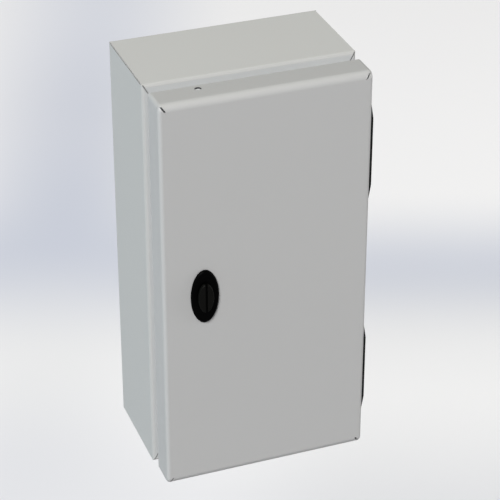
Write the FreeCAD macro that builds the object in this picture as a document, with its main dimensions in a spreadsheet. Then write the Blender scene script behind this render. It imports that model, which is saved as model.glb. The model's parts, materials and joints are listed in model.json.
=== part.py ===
"""Steel wall enclosure: folded body, hinged door, oval cam lock, mounting plate and gland plate.

The origin is the centre of the four wall fixing holes, on the back of the body. +X is to the right
of a person in front of the door, +Z is up, and the door faces -Y. Lengths are in millimetres.
"""
import FreeCAD, Part
import math
import os
import re

import Sketcher

# Driving sizes: each one is named once here and read from the sheet everywhere else.
SIZES = {
    # folded body
    "body_width": 200.0,
    "body_height": 400.0,
    "body_depth": 98.0,
    "sheet_wall": 1.5,
    "fold_radius": 3.0,
    "weld_radius": 2.5,
    "flange_width": 12.0,
    "lip_height": 31.0,
    "lip_return": 9.5,
    "seam_mouth": 0.9,
    "seam_depth": 1.3,
    "mitre_start": 0.6,
    "mitre_across": 4.5,
    "mitre_down": 8.0,
    "mitre_slot": 1.2,
    "mitre_depth": 1.1,
    # wall fixing
    "wall_hole": 8.5,
    "wall_inset_side": 30.0,
    "wall_inset_end": 28.0,
    # door tray
    "door_gap": 14.0,
    "door_inset": 1.0,
    "door_depth": 28.0,
    "door_top_fold": 6.5,
    "door_side_fold": 3.5,
    "notch_start": 1.8,
    "notch_across": 3.6,
    "notch_down": 5.2,
    "notch_slot": 2.0,
    "hanging_hole": 6.0,
    "hanging_inset": 44.0,
    "hanging_edge": 6.6,
    "gasket_width": 13.0,
    "gasket_corner": 12.0,
    "gasket_gap": 0.3,
    # hinges
    "hinge_end": 84.0,
    "hinge_length": 98.0,
    "knuckle_radius": 5.5,
    "knuckle_end_radius": 3.6,
    "knuckle_taper": 14.0,
    "door_knuckle": 33.4,
    "knuckle_gap": 0.3,
    "hinge_out": 6.0,
    "hinge_forward": 10.0,
    "pin_radius": 2.5,
    "pin_clearance": 0.05,
    "body_leaf_wall": 5.0,
    "body_leaf_reach": 36.0,
    "body_leaf_root": 12.0,
    "body_leaf_length": 92.0,
    "door_leaf_wall": 4.2,
    "door_leaf_edge": 3.0,
    "door_leaf_reach": 18.0,
    "door_leaf_root": 7.0,
    "door_leaf_length": 102.0,
    "door_leaf_taper": 17.5,
    "door_leaf_end_wall": 1.4,
    "body_screw_spread": 62.0,
    "door_screw_spread": 50.0,
    "hinge_screw_radius": 2.5,
    "hinge_screw_hole": 2.8,
    "hinge_screw_head": 4.4,
    "hinge_head_height": 2.8,
    "hinge_screw_cover": 1.0,
    "hinge_screw_tip": 0.4,
    # lock
    "lock_edge": 40.0,
    "lock_up": 3.5,
    "rose_width": 26.5,
    "rose_height": 54.5,
    "rose_wall": 2.2,
    "rose_bevel": 1.1,
    "seal_wall": 0.8,
    "barrel_radius": 11.0,
    "barrel_flat": 10.0,
    "barrel_clearance": 0.3,
    "lock_nut_across": 28.0,
    "lock_nut_height": 5.0,
    "spindle_radius": 6.0,
    "spindle_clearance": 0.05,
    "knob_width": 14.6,
    "knob_height": 29.5,
    "knob_wall": 3.0,
    "knob_bevel": 0.6,
    "knob_lift": 0.2,
    "knob_slot": 2.0,
    "knob_slot_depth": 1.4,
    "square_side": 8.0,
    "cam_clearance": 0.3,
    "cam_wall": 3.0,
    "cam_width": 20.0,
    "cam_reach": 25.0,
    "cam_washer_radius": 8.0,
    "cam_washer_wall": 1.2,
    "cam_screw_radius": 3.0,
    "cam_screw_length": 9.0,
    "cam_head_radius": 5.0,
    "cam_head_height": 3.0,
    # mounting plate
    "plate_inset_side": 25.0,
    "plate_inset_end": 40.0,
    "plate_wall": 2.0,
    "plate_corner": 6.0,
    "plate_stand": 12.0,
    "plate_stud_side": 13.0,
    "plate_stud_end": 15.0,
    "plate_stud_radius": 4.0,
    "plate_stud_foot": 7.0,
    "plate_stud_thread": 14.0,
    "plate_hole_radius": 4.5,
    "plate_washer_radius": 8.0,
    "plate_washer_wall": 1.6,
    "plate_nut_across": 13.0,
    "plate_nut_height": 6.5,
    # gland opening in the bottom
    "gland_width": 110.0,
    "gland_depth": 44.0,
    "gland_margin": 12.0,
    "gland_corner": 5.0,
    "gland_seal_wall": 2.0,
    "gland_plate_wall": 2.0,
    "gland_stud_radius": 2.5,
    "gland_stud_length": 12.0,
    "gland_hole_radius": 2.8,
    "gland_washer_radius": 5.0,
    "gland_washer_wall": 1.0,
    "gland_nut_across": 8.0,
    "gland_nut_height": 4.0,
    # earth studs
    "earth_stud_radius": 3.0,
    "body_earth_length": 18.0,
    "door_earth_length": 14.0,
    "body_earth_side": 0.0,
    "body_earth_end": 24.0,
    "door_earth_side": 30.0,
    "door_earth_end": 38.0,
    "earth_washer_radius": 6.0,
    "earth_washer_wall": 1.6,
    "earth_nut_across": 10.0,
    "earth_nut_height": 5.0,
    "thread_clearance": 0.05,
}

# Places and sizes that follow from the driving sizes, as formulas of them.
DERIVED = {
    "front_plane": "body_depth",
    "lip_plane": "body_depth + lip_height",
    "door_back": "body_depth + door_gap",
    "door_front": "body_depth + door_gap + door_depth",
    "door_inner": "body_depth + door_gap + door_depth - sheet_wall",
    "half_width": "body_width / 2",
    "half_height": "body_height / 2",
    "door_half_width": "body_width / 2 - door_inset",
    "door_half_height": "body_height / 2 - door_inset",
    "lip_half_width": "body_width / 2 - flange_width",
    "lip_half_height": "body_height / 2 - flange_width",
    "mouth_half_width": "body_width / 2 - flange_width - lip_return",
    "mouth_half_height": "body_height / 2 - flange_width - lip_return",
    "wall_half_across": "half_width - wall_inset_side",
    "wall_half_up": "half_height - wall_inset_end",
    "hanging_side": "half_width - hanging_inset",
    "hinge_spread": "body_height - 2 * hinge_end",
    "lock_side": "half_width - lock_edge",
    "rose_back": "door_front + seal_wall",
    "rose_front": "rose_back + rose_wall",
    "cam_front": "lip_plane - sheet_wall - cam_clearance",
    "cam_back": "cam_front - cam_wall",
    "plate_back": "sheet_wall + plate_stand",
    "plate_half_width": "half_width - plate_inset_side",
    "plate_half_height": "half_height - plate_inset_end",
    "stud_half_across": "plate_half_width - plate_stud_side",
    "stud_half_up": "plate_half_height - plate_stud_end",
    "body_earth_drop": "half_height - body_earth_end",
    "door_earth_drop": "half_height - door_earth_end",
    "gland_floor": "half_height - sheet_wall",
    "gland_middle": "body_depth / 2",
    "hinge_x": "half_width + hinge_out",
    "hinge_y": "body_depth + hinge_forward",
    "body_screw_length": "sheet_wall + body_leaf_wall - hinge_screw_cover - hinge_screw_tip",
    "door_screw_length": "sheet_wall + door_leaf_wall - hinge_screw_cover - hinge_screw_tip",
}

doc = FreeCAD.newDocument("wall_enclosure")
sheet = doc.addObject("Spreadsheet::Sheet", "sizes")
for row, (alias, size) in enumerate(SIZES.items(), start=1):
    sheet.set("A%d" % row, alias)
    sheet.set("B%d" % row, str(size))
    sheet.setAlias("B%d" % row, alias)
doc.recompute()


def spelled_out(formula):
    """Replaces each derived name in a formula by the driving sizes behind it, then names the sheet."""
    text = str(formula)
    for _ in range(len(DERIVED)):
        text = re.sub(r"[a-z_]+", lambda m: "(%s)" % DERIVED[m[0]] if m[0] in DERIVED else m[0], text)
    return re.sub(r"[a-z_]+", lambda m: "sizes." + m[0] if m[0] in SIZES else m[0], text)


def number(formula):
    """The present value of a size formula."""
    return float(sheet.evalExpression(spelled_out(formula)))


def bind(item, **formulas):
    """Ties properties of an object to size formulas."""
    for name, formula in formulas.items():
        item.setExpression(name, spelled_out(formula))


def place(item, at, axis):
    """Turns an object's own +Z to an axis and ties its place to three formulas."""
    turn = FreeCAD.Rotation(FreeCAD.Vector(0, 0, 1), FreeCAD.Vector(*axis))
    item.Placement = FreeCAD.Placement(FreeCAD.Vector(), turn)
    for letter, formula in zip("xyz", at):
        item.setExpression("Placement.Base." + letter, spelled_out(formula))


BACKWARDS = (0, 1, 0)
FORWARDS = (0, -1, 0)
UPWARDS = (0, 0, 1)
OUTWARDS_RIGHT = (1, 0, 0)


# Sketches: every corner, centre and radius is held by a size formula.

def sketch_on(body, name, role, offset):
    """An empty sketch on one of the body's own planes, moved along the plane's normal."""
    sketch = body.newObject("Sketcher::SketchObject", name)
    plane = next(item for item in body.Origin.OriginFeatures if item.Role == role)
    sketch.AttachmentSupport = [(plane, "")]
    sketch.MapMode = "FlatFace"
    sketch.setExpression("AttachmentOffset.Base.z", spelled_out(offset))
    return sketch


def hold(sketch, kind, *where, formula):
    """Adds a dimension to a sketch and ties it to a formula."""
    index = sketch.addConstraint(Sketcher.Constraint(kind, *where, number(formula)))
    sketch.setExpression("Constraints[%d]" % index, spelled_out(formula))


def hold_point(sketch, geometry, point, across, up):
    """Holds a point of the sketch at two formulas from the sketch's origin."""
    hold(sketch, "DistanceX", -1, 1, geometry, point, formula=across)
    hold(sketch, "DistanceY", -1, 1, geometry, point, formula=up)


def add_outline(sketch, corners):
    """A closed outline of straight sides through corners given as pairs of formulas."""
    first = sketch.GeometryCount
    spots = [FreeCAD.Vector(number(across), number(up), 0) for across, up in corners]
    for index, spot in enumerate(spots):
        sketch.addGeometry(Part.LineSegment(spot, spots[(index + 1) % len(spots)]), False)
    for index, (across, up) in enumerate(corners):
        after = first + (index + 1) % len(corners)
        sketch.addConstraint(Sketcher.Constraint("Coincident", first + index, 2, after, 1))
        hold_point(sketch, first + index, 1, across, up)


def add_rectangle(sketch, half_across, half_up, middle=("0", "0")):
    """A rectangle by its half sizes and its middle."""
    across, up = middle
    left, right = "%s - (%s)" % (across, half_across), "%s + (%s)" % (across, half_across)
    low, high = "%s - (%s)" % (up, half_up), "%s + (%s)" % (up, half_up)
    add_outline(sketch, [(left, low), (right, low), (right, high), (left, high)])


def add_circle(sketch, across, up, radius):
    """A circle by its middle and radius."""
    middle = FreeCAD.Vector(number(across), number(up), 0)
    index = sketch.addGeometry(Part.Circle(middle, FreeCAD.Vector(0, 0, 1), number(radius)), False)
    hold_point(sketch, index, 3, across, up)
    hold(sketch, "Radius", index, formula=radius)


def add_ellipse(sketch, across, up, width, height):
    """An upright ellipse by its middle, full width and full height."""
    middle = FreeCAD.Vector(number(across), number(up), 0)
    top = middle + FreeCAD.Vector(0, number(height) / 2, 0)
    side = middle + FreeCAD.Vector(number(width) / 2, 0, 0)
    index = sketch.addGeometry(Part.Ellipse(top, side, middle), False)
    sketch.exposeInternalGeometry(index)
    hold_point(sketch, index, 3, across, up)
    sketch.addConstraint(Sketcher.Constraint("Vertical", index + 1))
    hold(sketch, "Distance", index + 1, formula=height)
    hold(sketch, "Distance", index + 2, formula=width)


def add_flatted_circle(sketch, across, up, radius, flat):
    """A circle with its top and bottom cut flat, as a lock barrel has."""
    centre = FreeCAD.Vector(number(across), number(up), 0)
    round_edge = Part.Circle(centre, FreeCAD.Vector(0, 0, 1), number(radius))
    tilt = math.asin(number(flat) / number(radius))
    right = sketch.addGeometry(Part.ArcOfCircle(round_edge, -tilt, tilt), False)
    left = sketch.addGeometry(Part.ArcOfCircle(round_edge, math.pi - tilt, math.pi + tilt), False)
    corner = FreeCAD.Vector(math.cos(tilt), math.sin(tilt), 0) * number(radius)
    other = FreeCAD.Vector(-corner.x, corner.y, 0)
    top = sketch.addGeometry(Part.LineSegment(centre + corner, centre + other), False)
    bottom = sketch.addGeometry(Part.LineSegment(centre - corner, centre - other), False)
    for first, last in (((right, 2), (top, 1)), ((top, 2), (left, 1)), ((left, 2), (bottom, 1)),
                        ((bottom, 2), (right, 1)), ((right, 3), (left, 3))):
        sketch.addConstraint(Sketcher.Constraint("Coincident", *first, *last))
    hold_point(sketch, right, 3, across, up)
    hold(sketch, "Radius", right, formula=radius)
    hold(sketch, "Radius", left, formula=radius)
    sketch.addConstraint(Sketcher.Constraint("Horizontal", top))
    sketch.addConstraint(Sketcher.Constraint("Horizontal", bottom))
    hold(sketch, "DistanceY", right, 3, top, 1, formula=flat)
    hold(sketch, "DistanceY", bottom, 1, right, 3, formula=flat)


# Part design features.

def new_body(label):
    """A new body whose label is the node's name."""
    body = doc.addObject("PartDesign::Body", label)
    body.Label = label
    return body


def pad(body, sketch, length, midplane=False):
    """Adds the sketch's area, along the sketch's normal."""
    feature = body.newObject("PartDesign::Pad", sketch.Name + "_pad")
    feature.Profile = sketch
    feature.Midplane = midplane
    bind(feature, Length=length)
    doc.recompute()
    return feature


def pocket(body, sketch, length, midplane=False):
    """Cuts the sketch's area, against the sketch's normal, and checks that it took metal away."""
    volume = body.Shape.Volume
    feature = body.newObject("PartDesign::Pocket", sketch.Name + "_pocket")
    feature.Profile = sketch
    feature.Midplane = midplane
    bind(feature, Length=length)
    doc.recompute()
    if not feature.Shape.Volume < volume - 1e-3:
        raise RuntimeError("%s cuts nothing" % feature.Name)
    return feature


def edges_where(feature, test):
    """Names of the feature's edges whose bounding box passes a test."""
    return ["Edge%d" % (index + 1) for index, edge in enumerate(feature.Shape.Edges) if test(edge.BoundBox)]


def round_edges(body, feature, test, radius, name):
    """Rounds the chosen edges."""
    fillet = body.newObject("PartDesign::Fillet", name)
    fillet.Base = (feature, edges_where(feature, test))
    bind(fillet, Radius=radius)
    doc.recompute()
    return fillet


def bevel_edges(body, feature, test, size, name):
    """Bevels the chosen edges."""
    chamfer = body.newObject("PartDesign::Chamfer", name)
    chamfer.Base = (feature, edges_where(feature, test))
    bind(chamfer, Size=size)
    doc.recompute()
    return chamfer


def hollow_from(body, feature, test, wall, name):
    """Hollows a solid to a wall, open at the face whose bounding box passes a test."""
    shell = body.newObject("PartDesign::Thickness", name)
    faces = ["Face%d" % (index + 1) for index, face in enumerate(feature.Shape.Faces) if test(face.BoundBox)]
    shell.Base = (feature, faces)
    shell.Reversed = True
    bind(shell, Value=wall)
    doc.recompute()
    return shell


TINY = 1e-4


def near(first, second):
    """True for two lengths that are the same within rounding."""
    return abs(first - second) < TINY


def flat_in_front(depth):
    """A test for edges that lie in the plane this far in front of the back."""
    plane = -number(depth)
    return lambda box: near(box.YMin, plane) and near(box.YMax, plane)


def along_depth(box):
    """True for a straight edge along Y."""
    return box.YLength > TINY and box.XLength < TINY and box.ZLength < TINY


def upright(box):
    """True for a straight edge along Z."""
    return box.ZLength > TINY and box.XLength < TINY and box.YLength < TINY


# Plain parts for fasteners.

def rod(name, radius, height, at, axis):
    """A round bar from a start point along an axis."""
    item = doc.addObject("Part::Cylinder", name)
    bind(item, Radius=radius, Height=height)
    place(item, at, axis)
    return item


def without(name, base, tool):
    """The base with the tool's room cut out of it."""
    item = doc.addObject("Part::Cut", name)
    item.Base = base
    item.Tool = tool
    return item


def joined(name, *members):
    """Several solids melted into one."""
    item = doc.addObject("Part::MultiFuse", name)
    item.Shapes = list(members)
    item.Refine = True
    return item


def washer(name, radius, bore, height, at, axis):
    """A flat washer."""
    disc = rod(name + "_disc", radius, height, at, axis)
    hole = rod(name + "_hole", bore, height, at, axis)
    return without(name, disc, hole)


def nut(name, across, bore, height, at, axis):
    """A hexagon nut by its size across the flats."""
    prism = doc.addObject("Part::Prism", name + "_hexagon")
    prism.Polygon = 6
    bind(prism, Circumradius="(%s) / sqrt(3)" % across, Height=height)
    place(prism, at, axis)
    hole = rod(name + "_hole", bore, height, at, axis)
    return without(name, prism, hole)


def moved_along(at, axis, distance):
    """A point moved along an axis by a formula, as three formulas."""
    return tuple("%s + %d * (%s)" % (base, step, distance) for base, step in zip(at, axis))


def opposite(axis):
    """The axis turned round."""
    return tuple(-step for step in axis)


def pan_screw(name, radius, length, head_radius, head_height, at, axis):
    """A pan-head screw whose head rests at a point and whose shank runs along an axis."""
    shank = rod(name + "_shank", radius, length, at, axis)
    head = rod(name + "_head", head_radius, head_height, at, opposite(axis))
    return joined(name, shank, head)


def group(label, members):
    """Identical fasteners in one node, each a solid of its own."""
    item = doc.addObject("Part::Compound", label)
    item.Links = members
    item.Label = label
    return item


def four_corners(half_across, half_up):
    """The four corners of a rectangle about the origin, as formulas."""
    return [("%d * (%s)" % (side, half_across), "%d * (%s)" % (level, half_up))
            for side in (-1, 1) for level in (-1, 1)]


def fastener_set(prefix, spots, axis, stack):
    """One washer group and one nut group on studs, stacked from a seat plane."""
    washers = []
    nuts = []
    bore = "%s + thread_clearance" % stack["stud"]
    for count, spot in enumerate(spots, start=1):
        on_top = moved_along(spot, axis, stack["washer_wall"])
        washers.append(washer("%s_washer_%d" % (prefix, count), stack["washer"], bore,
                              stack["washer_wall"], spot, axis))
        nuts.append(nut("%s_nut_%d" % (prefix, count), stack["across"], bore, stack["nut"], on_top, axis))
    return washers, nuts


# Body shell: a wrap folded from one sheet, with a flange, a raised lip and an inward return.

def make_body_shell():
    """Solid forms are padded and rounded first, then hollowed to the sheet's thickness."""
    body = new_body("body_shell")
    wrap = sketch_on(body, "wrap", "XZ_Plane", "0")
    add_rectangle(wrap, "half_width", "half_height")
    solid = pad(body, wrap, "body_depth")
    ends = lambda box: box.YLength < TINY
    round_edges(body, solid, ends, "fold_radius", "outer_folds")
    lip = sketch_on(body, "lip", "XZ_Plane", "front_plane")
    add_rectangle(lip, "lip_half_width", "lip_half_height")
    raised = pad(body, lip, "lip_height")
    round_edges(body, raised, flat_in_front("lip_plane"), "fold_radius", "lip_folds")

    room = sketch_on(body, "room", "XZ_Plane", "front_plane - sheet_wall")
    add_rectangle(room, "half_width - sheet_wall", "half_height - sheet_wall")
    hollow = pocket(body, room, "body_depth - 2 * sheet_wall")
    inner_half = number("half_width - sheet_wall")
    welds = lambda box: along_depth(box) and near(abs(box.XMin), inner_half)
    welded = round_edges(body, hollow, welds, "weld_radius", "weld_seams")
    back_inside = round_edges(body, welded, flat_in_front("sheet_wall"), "fold_radius - sheet_wall",
                              "back_inner_folds")
    flange_back = flat_in_front("front_plane - sheet_wall")
    round_edges(body, back_inside, flange_back, "fold_radius - sheet_wall", "front_inner_folds")
    throat = sketch_on(body, "throat", "XZ_Plane", "lip_plane - sheet_wall")
    add_rectangle(throat, "lip_half_width - sheet_wall", "lip_half_height - sheet_wall")
    pocket(body, throat, "lip_height")
    mouth = sketch_on(body, "mouth", "XZ_Plane", "lip_plane")
    add_rectangle(mouth, "mouth_half_width", "mouth_half_height")
    pocket(body, mouth, "sheet_wall")

    holes = sketch_on(body, "wall_holes", "XZ_Plane", "sheet_wall")
    for across, up in four_corners("wall_half_across", "wall_half_up"):
        add_circle(holes, across, up, "wall_hole / 2")
    pocket(body, holes, "sheet_wall")
    gland = sketch_on(body, "gland_opening", "XY_Plane", "-half_height + sheet_wall")
    add_rectangle(gland, "gland_width / 2", "gland_depth / 2", ("0", "-gland_middle"))
    cut = pocket(body, gland, "sheet_wall")
    corner_x = number("gland_width / 2")
    gland_corners = lambda box: upright(box) and near(abs(box.XMin), corner_x) and box.ZMax < 0
    round_edges(body, cut, gland_corners, "gland_corner", "gland_opening_corners")
    screws = sketch_on(body, "hinge_screw_holes", "YZ_Plane", "half_width")
    for side in (-1, 1):
        for level in (-1, 1):
            height = "%d * hinge_spread / 2 + %d * body_screw_spread / 2" % (side, level)
            add_circle(screws, "-front_plane + body_leaf_reach / 2 + body_leaf_root / 2", height,
                       "hinge_screw_hole")
    pocket(body, screws, "sheet_wall")
    cut_seams(body)
    return body


def cut_seams(body):
    """Slanted slots along the welded depth edges, and shallow mitre grooves in the front flange."""
    seams = sketch_on(body, "seams", "XZ_Plane", "front_plane - fold_radius")
    mitres = sketch_on(body, "mitres", "XZ_Plane", "front_plane")
    for side in (-1, 1):
        for level in (-1, 1):
            across = lambda inwards: "%d * (half_width - (%s))" % (side, inwards)
            up = lambda inwards: "%d * (half_height - (%s))" % (level, inwards)
            add_outline(seams, [(across("seam_mouth"), up("0")),
                                (across("-seam_mouth"), up("0")),
                                (across("-seam_mouth"), up("-seam_mouth")),
                                (across("0"), up("-seam_mouth")),
                                (across("0"), up("seam_mouth")),
                                (across("seam_depth"), up("seam_mouth + seam_depth")),
                                (across("seam_mouth + seam_depth"), up("seam_depth"))])
            add_outline(mitres, [(across("mitre_start"), up("mitre_start")),
                                 (across("mitre_start + mitre_slot"), up("mitre_start")),
                                 (across("mitre_start + mitre_across + mitre_slot"),
                                  up("mitre_start + mitre_down")),
                                 (across("mitre_start + mitre_across"), up("mitre_start + mitre_down"))])
    pocket(body, seams, "body_depth - 2 * fold_radius")
    pocket(body, mitres, "mitre_depth")


# Door: a folded tray whose returns overlap the body's lip without touching it.

def make_door_panel():
    """The tray is padded, rounded along its front folds and hollowed to the sheet from behind."""
    body = new_body("door_panel")
    outside = sketch_on(body, "door_outside", "XZ_Plane", "door_back")
    add_rectangle(outside, "door_half_width", "door_half_height")
    solid = pad(body, outside, "door_depth")
    front = flat_in_front("door_front")
    level_edges = lambda box: front(box) and box.XLength > TINY
    folded = round_edges(body, solid, level_edges, "door_top_fold", "door_top_folds")
    plane = -number("door_front")
    side_edges = lambda box: near(box.YMin, plane) and near(box.YMax, plane) and box.XLength < TINY
    rounded = round_edges(body, folded, side_edges, "door_side_fold", "door_side_folds")
    hollow_from(body, rounded, flat_in_front("door_back"), "sheet_wall", "door_sheet")

    lock_hole = sketch_on(body, "lock_hole", "XZ_Plane", "door_front")
    add_flatted_circle(lock_hole, "-lock_side", "lock_up", "barrel_radius + barrel_clearance",
                       "barrel_flat + barrel_clearance")
    pocket(body, lock_hole, "sheet_wall")
    hanging = sketch_on(body, "hanging_holes", "XY_Plane", "door_half_height")
    add_circle(hanging, "-hanging_side", "-(door_back + hanging_edge)", "hanging_hole / 2")
    pocket(body, hanging, "2 * door_half_height")
    screws = sketch_on(body, "door_screw_holes", "YZ_Plane", "door_half_width")
    for side in (-1, 1):
        for level in (-1, 1):
            height = "%d * hinge_spread / 2 + %d * door_screw_spread / 2" % (side, level)
            add_circle(screws, "-(door_back + door_leaf_edge + door_leaf_reach / 2)", height,
                       "hinge_screw_hole")
    pocket(body, screws, "sheet_wall")
    notches = sketch_on(body, "corner_notches", "XZ_Plane", "door_front")
    for side in (-1, 1):
        for level in (-1, 1):
            across = lambda inwards: "%d * (door_half_width - (%s))" % (side, inwards)
            up = lambda inwards: "%d * (door_half_height - (%s))" % (level, inwards)
            add_outline(notches, [(across("notch_start"), up("notch_start")),
                                  (across("notch_start + notch_slot"), up("notch_start")),
                                  (across("notch_start + notch_across + notch_slot"),
                                   up("notch_start + notch_down")),
                                  (across("notch_start + notch_across"), up("notch_start + notch_down"))])
    pocket(body, notches, "door_top_fold")
    return body


def make_door_gasket():
    """A foamed ring on the door, opposite the lip's return."""
    body = new_body("door_gasket")
    ring = sketch_on(body, "gasket_ring", "XZ_Plane", "lip_plane + gasket_gap")
    for sign in ("+", "-"):
        add_rectangle(ring, "lip_half_width - lip_return / 2 %s gasket_width / 2" % sign,
                      "lip_half_height - lip_return / 2 %s gasket_width / 2" % sign)
    raised = pad(body, ring, "door_inner - lip_plane - gasket_gap")
    outer_half = number("lip_half_width - lip_return / 2 + gasket_width / 2")
    outer_corners = lambda box: along_depth(box) and near(abs(box.XMin), outer_half)
    round_edges(body, raised, outer_corners, "gasket_corner", "gasket_corners")
    return body


# Hinges: a tapered barrel of three knuckles on two leaves.

def add_knuckle(body, name, half_profile):
    """A turned knuckle about the hinge pin, from a half outline of radius and height."""
    sketch = sketch_on(body, name, "XZ_Plane", "hinge_y")
    add_outline(sketch, [("hinge_x + %s" % radius, height) for radius, height in half_profile])
    turned = body.newObject("PartDesign::Revolution", name + "_turned")
    turned.Profile = sketch
    pin_line = sketch.addGeometry(
        Part.LineSegment(FreeCAD.Vector(number("hinge_x"), 0, 0), FreeCAD.Vector(number("hinge_x"), 1, 0)),
        True)
    hold_point(sketch, pin_line, 1, "hinge_x", "0")
    hold_point(sketch, pin_line, 2, "hinge_x", "1")
    turned.ReferenceAxis = (sketch, ["Axis0"])
    turned.Angle = 360
    doc.recompute()


def make_body_leaf(place_name, side):
    """The leaf on the body's side carries the two end knuckles, which taper to their ends."""
    body = new_body("hinge_body_leaf_" + place_name)
    tag = "body_leaf_" + place_name
    leaf = sketch_on(body, tag, "XY_Plane", "0")
    add_outline(leaf, [("half_width", "-front_plane + body_leaf_reach + body_leaf_root"),
                       ("half_width + body_leaf_wall", "-front_plane + body_leaf_reach + body_leaf_root"),
                       ("half_width + body_leaf_wall", "-front_plane + body_leaf_root"),
                       ("half_width", "-front_plane + body_leaf_root")])
    pad(body, leaf, "body_leaf_length", midplane=True)
    for level in (-1, 1):
        end = "low" if level < 0 else "high"
        inner = "%d * (door_knuckle / 2 + knuckle_gap)" % level
        taper_start = "%d * (hinge_length / 2 - knuckle_taper)" % level
        arm = sketch_on(body, "%s_arm_%s" % (tag, end), "XY_Plane",
                        "%d * (door_knuckle / 4 + knuckle_gap / 2 + body_leaf_length / 4)" % level)
        add_outline(arm, [("half_width", "-front_plane + body_leaf_root + body_leaf_wall"),
                          ("half_width + body_leaf_wall",
                           "-front_plane + body_leaf_root + body_leaf_wall"),
                          ("hinge_x + knuckle_end_radius", "-hinge_y"),
                          ("hinge_x - knuckle_end_radius", "-hinge_y"),
                          ("half_width", "-front_plane")])
        pad(body, arm, "body_leaf_length / 2 - door_knuckle / 2 - knuckle_gap", midplane=True)
        add_knuckle(body, "%s_knuckle_%s" % (tag, end),
                    [("0", inner), ("knuckle_radius", inner), ("knuckle_radius", taper_start),
                     ("knuckle_end_radius", "%d * hinge_length / 2" % level),
                     ("0", "%d * hinge_length / 2" % level)])
    bore = sketch_on(body, tag + "_bore", "XY_Plane", "hinge_length / 2")
    add_circle(bore, "hinge_x", "-hinge_y", "pin_radius + pin_clearance")
    pocket(body, bore, "hinge_length")
    holes = sketch_on(body, tag + "_holes", "YZ_Plane",
                      "half_width + body_leaf_wall - hinge_screw_cover")
    for level in (-1, 1):
        add_circle(holes, "-front_plane + body_leaf_reach / 2 + body_leaf_root / 2",
                   "%d * body_screw_spread / 2" % level, "hinge_screw_radius + thread_clearance")
    pocket(body, holes, "body_leaf_wall - hinge_screw_cover")
    body.setExpression("Placement.Base.z", spelled_out("%d * hinge_spread / 2" % side))
    return body


def make_door_leaf(place_name, side):
    """The leaf on the door's side return thins towards its ends and carries the middle knuckle."""
    body = new_body("hinge_door_leaf_" + place_name)
    tag = "door_leaf_" + place_name
    start = "-(door_back + door_leaf_edge)"
    leaf = sketch_on(body, tag, "XZ_Plane", "door_back + door_leaf_edge")
    add_outline(leaf, [("door_half_width", "-door_leaf_length / 2"),
                       ("door_half_width + door_leaf_end_wall", "-door_leaf_length / 2"),
                       ("door_half_width + door_leaf_wall", "-door_leaf_length / 2 + door_leaf_taper"),
                       ("door_half_width + door_leaf_wall", "door_leaf_length / 2 - door_leaf_taper"),
                       ("door_half_width + door_leaf_end_wall", "door_leaf_length / 2"),
                       ("door_half_width", "door_leaf_length / 2")])
    pad(body, leaf, "door_leaf_reach")
    arm = sketch_on(body, tag + "_arm", "XY_Plane", "0")
    add_outline(arm, [("hinge_x - knuckle_radius", "-hinge_y"),
                      ("hinge_x + knuckle_end_radius", "-hinge_y"),
                      ("door_half_width + door_leaf_wall", start + " - door_leaf_root"),
                      ("door_half_width", start + " - door_leaf_root"),
                      ("door_half_width", start + " + door_leaf_edge")])
    pad(body, arm, "door_knuckle", midplane=True)
    add_knuckle(body, tag + "_knuckle",
                [("0", "-door_knuckle / 2"), ("knuckle_radius", "-door_knuckle / 2"),
                 ("knuckle_radius", "door_knuckle / 2"), ("0", "door_knuckle / 2")])
    bore = sketch_on(body, tag + "_bore", "XY_Plane", "door_knuckle / 2")
    add_circle(bore, "hinge_x", "-hinge_y", "pin_radius + pin_clearance")
    pocket(body, bore, "door_knuckle")
    holes = sketch_on(body, tag + "_holes", "YZ_Plane",
                      "door_half_width + door_leaf_wall - hinge_screw_cover")
    for level in (-1, 1):
        add_circle(holes, "-(door_back + door_leaf_edge + door_leaf_reach / 2)",
                   "%d * door_screw_spread / 2" % level, "hinge_screw_radius + thread_clearance")
    pocket(body, holes, "door_leaf_wall - hinge_screw_cover")
    body.setExpression("Placement.Base.z", spelled_out("%d * hinge_spread / 2" % side))
    return body


def make_hinge(place_name, side):
    """One hinge: two leaves, the pin, and the screws that hold each leaf from inside."""
    middle = "%d * hinge_spread / 2" % side
    pin = rod("hinge_pin_" + place_name, "pin_radius", "hinge_length",
              ("hinge_x", "-hinge_y", middle + " - hinge_length / 2"), UPWARDS)
    pin.Label = "hinge_pin_" + place_name
    body_screws = []
    door_screws = []
    for level in (-1, 1):
        end = "low" if level < 0 else "high"
        body_seat = ("half_width - sheet_wall", "-front_plane + body_leaf_reach / 2 + body_leaf_root / 2",
                     middle + " + %d * body_screw_spread / 2" % level)
        body_screws.append(pan_screw("body_screw_%s_%s" % (place_name, end), "hinge_screw_radius",
                                     "body_screw_length", "hinge_screw_head",
                                     "hinge_head_height", body_seat, OUTWARDS_RIGHT))
        door_seat = ("door_half_width - sheet_wall", "-(door_back + door_leaf_edge + door_leaf_reach / 2)",
                     middle + " + %d * door_screw_spread / 2" % level)
        door_screws.append(pan_screw("door_screw_%s_%s" % (place_name, end), "hinge_screw_radius",
                                     "door_screw_length", "hinge_screw_head",
                                     "hinge_head_height", door_seat, OUTWARDS_RIGHT))
    return [make_body_leaf(place_name, side), make_door_leaf(place_name, side), pin,
            group("hinge_body_screws_" + place_name, body_screws),
            group("hinge_door_screws_" + place_name, door_screws)]


# Lock: an oval rose with a flatted barrel through the door, and a knob that turns the cam.

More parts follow.
